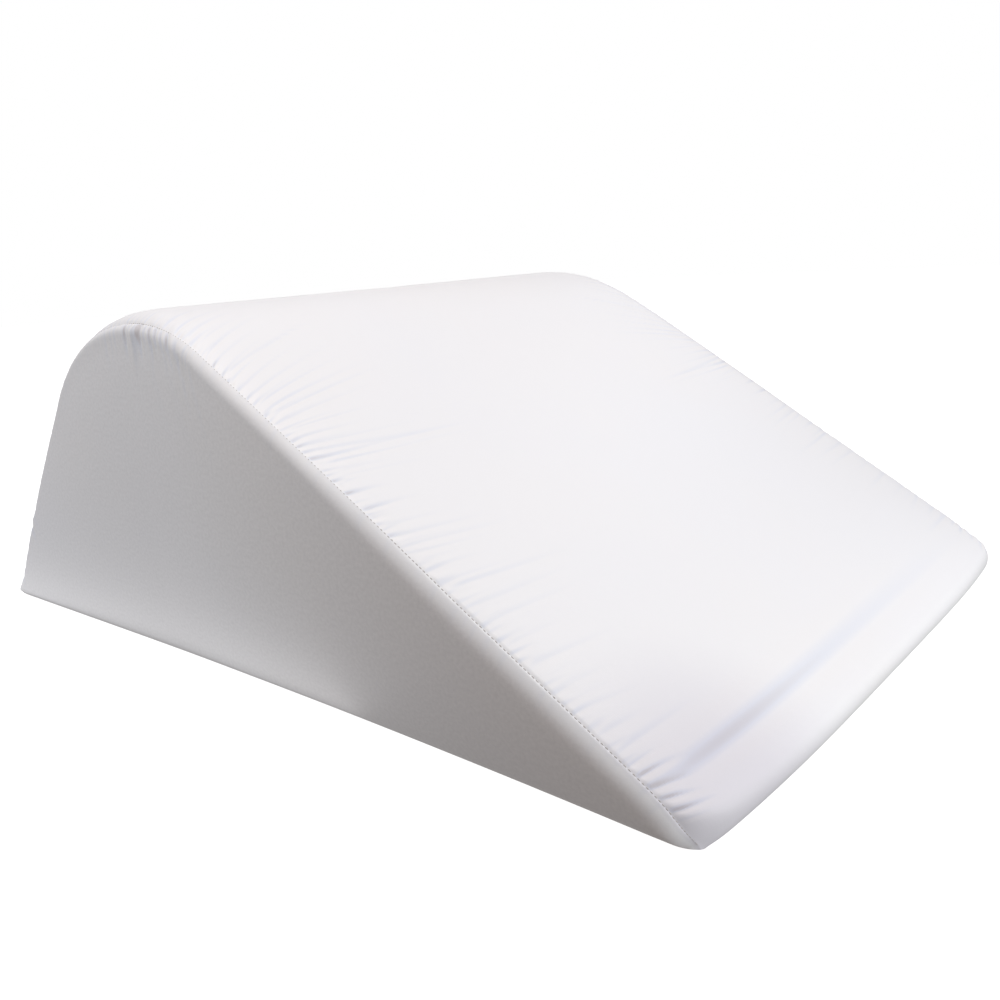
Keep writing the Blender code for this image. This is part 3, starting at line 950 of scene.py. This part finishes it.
def cloth_material(colours):
    """White satin-weave cloth. Its colour is white with a painted tint of light, a cream cast high up where
    the key light falls and a blue one low down in the shade, in patches. Painted light and shade are
    multiplied with it: by the slope of the folds, near the toe's near corner on the band, and towards the toe
    on the side panels, which have a fine grain as well."""
    material, tree, shader = new_material("white_satin_cloth", {
        "Roughness": 0.5, "Specular IOR Level": 0.35, "Sheen Weight": 0.15, "Sheen Roughness": 0.4,
    })
    uv = node(tree, "UVMap", (-1500, -300), {}, uv_map="cloth")
    place = node(tree, "TexCoord", (-1500, 300), {}, "Object")
    below_seam = node(tree, "Attribute", (-1100, 1300), {}, "Fac", attribute_name="below_seam")
    slope = node(tree, "Attribute", (-1100, 1600), {}, "Fac", attribute_name="fold_slope")
    axes = node(tree, "SeparateXYZ", (-1200, 300), {"Vector": place}).node.outputs

    # Painted tint of light: cream high up where the key light falls, blue lower down in the shade, in patches
    patch = node(tree, "TexNoise", (-1200, 600), {"Vector": place, "Scale": 4.5, "Detail": 2.0})
    high_up = node(
        tree, "Math", (-900, 400), {0: patch, 1: PATCH_SHARE, 2: axes["Z"]}, operation="MULTIPLY_ADD"
    )
    cast = ramp_of(
        tree, (-650, 300), high_up, ((0.30, colours.cool_shade_tint), (0.45, colours.cloth), (0.62, colours.warm_light_tint))
    )
    # Painted light and shade on the folds: cream on walls that face up, blue and grey shade on walls that
    # face the toe
    facing = rising(tree, (-900, 1600), slope, -FOLD_STEEP, FOLD_STEEP, "LINEAR")
    painted_fold_light_and_shade = ramp_of(tree, (-700, 1600), facing, (
        (0.0, colours.fold_light), (0.5, (1.0, 1.0, 1.0, 1.0)), (0.75, colours.fold_shade),
        (1.0, colours.fold_deep_shade),
    ))
    folded = tinted(tree, (-350, 200), 1.0, cast, painted_fold_light_and_shade)

    # Painted shade: lavender near the toe's near corner on the band, and brownish grey towards the toe on the
    # side panels
    from_corner = node(
        tree, "VectorMath", (-900, 800), {0: place, 1: SHADE_CENTRE}, "Value", operation="DISTANCE"
    )
    near_corner = rising(tree, (-700, 800), from_corner, *CORNER_SHADE)
    off_side = rising(tree, (-700, 950), below_seam, *OFF_SIDE, "LINEAR")
    on_band = product(tree, (-500, 800), near_corner, off_side)
    shaded = tinted(tree, (-350, 500), on_band, folded, colours.corner)
    on_side = rising(tree, (-900, 1300), below_seam, *ON_SIDE)
    to_toe = rising(tree, (-700, 1100), axes["X"], *TO_TOE)
    side_share = product(tree, (-500, 1100), to_toe, on_side)
    painted_side_shade = tinted(tree, (-150, 500), side_share, shaded, colours.side)

    mottle = node(tree, "TexNoise", (-350, 900), {"Vector": uv, "Scale": 420.0, "Detail": 2.0})
    grain = rising(tree, (-150, 900), mottle, 0.3, 0.7, "LINEAR", GRAIN_DARK)
    side_grain = node(tree, "Mix", (50, 900), {0: on_side, 2: 1.0, 3: grain})
    grained = node(
        tree, "VectorMath", (50, 500), {0: painted_side_shade, "Scale": side_grain}, "Vector", operation="SCALE"
    )
    join(tree, shader, {"Base Color": grained, "Normal": cloth_normal(tree, uv, place)})
    return material


def thread_material(colours):
    """Matt thread, a little darker than the cloth, partly its own grey and partly painted shade of the seam
    line, with the twist of its plies as bump.
    """
    material, tree, shader = new_material("seam_thread", {"Roughness": 0.75, "Specular IOR Level": 0.2})
    place = node(tree, "TexCoord", (-900, 0), {}, "Object")
    fibre = node(tree, "TexNoise", (-700, 0), {"Vector": place, "Scale": 2500.0, "Detail": 1.0})
    dark = [THREAD_DARK * part for part in colours.thread[:3]] + [1.0]
    shade = ramp_of(tree, (-450, 100), fibre, ((0.0, dark), (1.0, colours.thread)))
    join(tree, shader, {"Base Color": shade, "Normal": bump(tree, (-300, -200), fibre, 0.4, 0.0001)})
    return material


def floor_material(colours):
    """Pale matt floor that glows. Its glow grows to full white away from the cushion, by the distance on
    object coordinates, so that it blends into the white behind it and keeps a faint shadow close by."""
    material, tree, shader = new_material("studio_floor", {
        "Base Color": colours.floor, "Roughness": 0.9, "Specular IOR Level": 0.0,
        "Emission Color": (1.0, 1.0, 1.0, 1.0),
    })
    place = node(tree, "TexCoord", (-900, 0), {}, "Object")
    distance = node(tree, "VectorMath", (-700, 0), {0: place}, "Value", operation="LENGTH")
    glow = rising(tree, (-500, 0), distance, FLOOR_NEAR, FLOOR_FAR, "LINEAR", FLOOR_GLOW)
    join(tree, shader, {"Emission Strength": glow})
    return material


def add_piece(name, mesh, material):
    """A new object of the cushion, which rides on the one body and has the given material in its slot."""
    piece = bpy.data.objects.new(name, mesh)
    bpy.context.scene.collection.objects.link(piece)
    mesh.materials.append(material)
    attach(piece, "root")
    return piece


def add_softbox(name, place, aim, width, height, power, colour):
    """An area light at a place, turned towards its aim."""
    lamp = bpy.data.lights.new(name, "AREA")
    lamp.shape, lamp.size, lamp.size_y = "RECTANGLE", width, height
    lamp.energy, lamp.color = power, colour
    softbox = bpy.data.objects.new(name, lamp)
    softbox.location = place
    softbox.visible_camera = False
    softbox.rotation_euler = (Vector(aim) - Vector(place)).to_track_quat("-Z", "Y").to_euler()
    bpy.context.scene.collection.objects.link(softbox)


def add_world():
    """White behind everything for the camera, and a weaker white as the light from all round."""
    world = bpy.data.worlds.new("studio_white")
    world.use_nodes = True
    tree = world.node_tree
    light = tree.nodes["Background"]
    join(tree, light, {"Color": WORLD_COLOUR, "Strength": WORLD_LIGHT})
    white = node(tree, "Background", (0, -200), {"Color": (1.0, 1.0, 1.0, 1.0), "Strength": 1.0})
    seen = node(tree, "LightPath", (0, 400), {}, "Is Camera Ray")
    either = node(tree, "MixShader", (200, 200), {0: seen, 1: light.outputs["Background"], 2: white})
    join(tree, tree.nodes["World Output"], {"Surface": either})
    bpy.context.scene.world = world


def add_camera():
    """The camera, from its azimuth, elevation and roll, and its focal length in image widths."""
    azimuth, elevation, roll_angle = (
        math.radians(angle) for angle in (CAMERA_AZIMUTH, CAMERA_ELEVATION, CAMERA_ROLL)
    )
    back = Vector((
        math.sin(azimuth) * math.cos(elevation),
        -math.cos(azimuth) * math.cos(elevation),
        math.sin(elevation),
    ))
    right = Vector((math.cos(azimuth), math.sin(azimuth), 0.0))
    level = Matrix((right, back.cross(right), back)).transposed()
    lens = bpy.data.cameras.new("camera")
    lens.sensor_width = SENSOR_WIDTH
    lens.lens = SENSOR_WIDTH * FOCAL_PIXELS / IMAGE_PIXELS
    camera = bpy.data.objects.new("camera", lens)
    turned = level @ Matrix.Rotation(roll_angle, 3, "Z")
    camera.matrix_world = Matrix.Translation(CAMERA_PLACE) @ turned.to_4x4()
    bpy.context.scene.collection.objects.link(camera)
    bpy.context.scene.camera = camera


class WEDGE_OT_cover(bpy.types.Operator):
    """Build the sewn cover"""

    bl_idname = "wedge_cushion.cover"
    bl_label = "Cover"

    def execute(self, context):
        shape = CushionShape(context.scene.wedge_sizes)
        piece = add_piece("cushion_cover", cover_mesh(shape), cloth_material(context.scene.wedge_colours))
        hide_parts(CAD_NODE)
        return {"FINISHED"}


class WEDGE_OT_stitches(bpy.types.Operator):
    """Sew the stitches along both seams"""

    bl_idname = "wedge_cushion.stitches"
    bl_label = "Stitches"

    def execute(self, context):
        shape = CushionShape(context.scene.wedge_sizes)
        add_piece("seam_stitches", stitch_mesh(shape), thread_material(context.scene.wedge_colours))
        return {"FINISHED"}


class WEDGE_OT_stage(bpy.types.Operator):
    """Set up the floor, the lights and the camera"""

    bl_idname = "wedge_cushion.stage"
    bl_label = "Studio"

    def execute(self, context):
        half = FLOOR_SIZE / 2
        side = np.linspace(-half, half, 3)
        x, y = np.meshgrid(side, side, indexing="ij")
        points = np.stack([x, y, np.full(x.shape, -FLOOR_GAP)], axis=-1)
        mesh = bpy.data.meshes.new("studio_floor")
        mesh.from_pydata(points.reshape(-1, 3), [], grid_faces(3, 3, 0, True).tolist())
        mesh.materials.append(floor_material(context.scene.wedge_colours))
        floor = bpy.data.objects.new("studio_floor", mesh)
        context.scene.collection.objects.link(floor)
        floor.visible_diffuse = floor.visible_glossy = False
        for row in LIGHTS:
            add_softbox(*row)
        add_world()
        add_camera()
        context.scene.view_settings.view_transform = "Standard"
        return {"FINISHED"}


class WEDGE_PT_panel(bpy.types.Panel):
    """The cushion's operators, sizes and colours"""

    bl_idname = "WEDGE_PT_panel"
    bl_label = "Wedge cushion"
    bl_space_type = "VIEW_3D"
    bl_region_type = "UI"
    bl_category = "Wedge cushion"

    def draw(self, context):
        for operator in OPERATORS:
            self.layout.operator(operator.bl_idname)
        for group in (context.scene.wedge_sizes, context.scene.wedge_colours):
            for name in group.bl_rna.properties.keys():
                if name not in ("name", "rna_type"):
                    self.layout.prop(group, name)


OPERATORS = (WEDGE_OT_cover, WEDGE_OT_stitches, WEDGE_OT_stage)
CLASSES = (CushionSizes, CushionColours) + OPERATORS + (WEDGE_PT_panel,)


def register():
    """Register the classes, and put the sizes and colours on the scene."""
    for cls in CLASSES:
        bpy.utils.register_class(cls)
    bpy.types.Scene.wedge_sizes = bpy.props.PointerProperty(type=CushionSizes)
    bpy.types.Scene.wedge_colours = bpy.props.PointerProperty(type=CushionColours)


def unregister():
    """Take away what register made."""
    del bpy.types.Scene.wedge_colours
    del bpy.types.Scene.wedge_sizes
    for cls in reversed(CLASSES):
        bpy.utils.unregister_class(cls)


def main():
    """Register the add-on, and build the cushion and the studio."""
    register()
    bpy.ops.wedge_cushion.cover()
    bpy.ops.wedge_cushion.stitches()
    bpy.ops.wedge_cushion.stage()


if __name__ == "__main__":
    main()
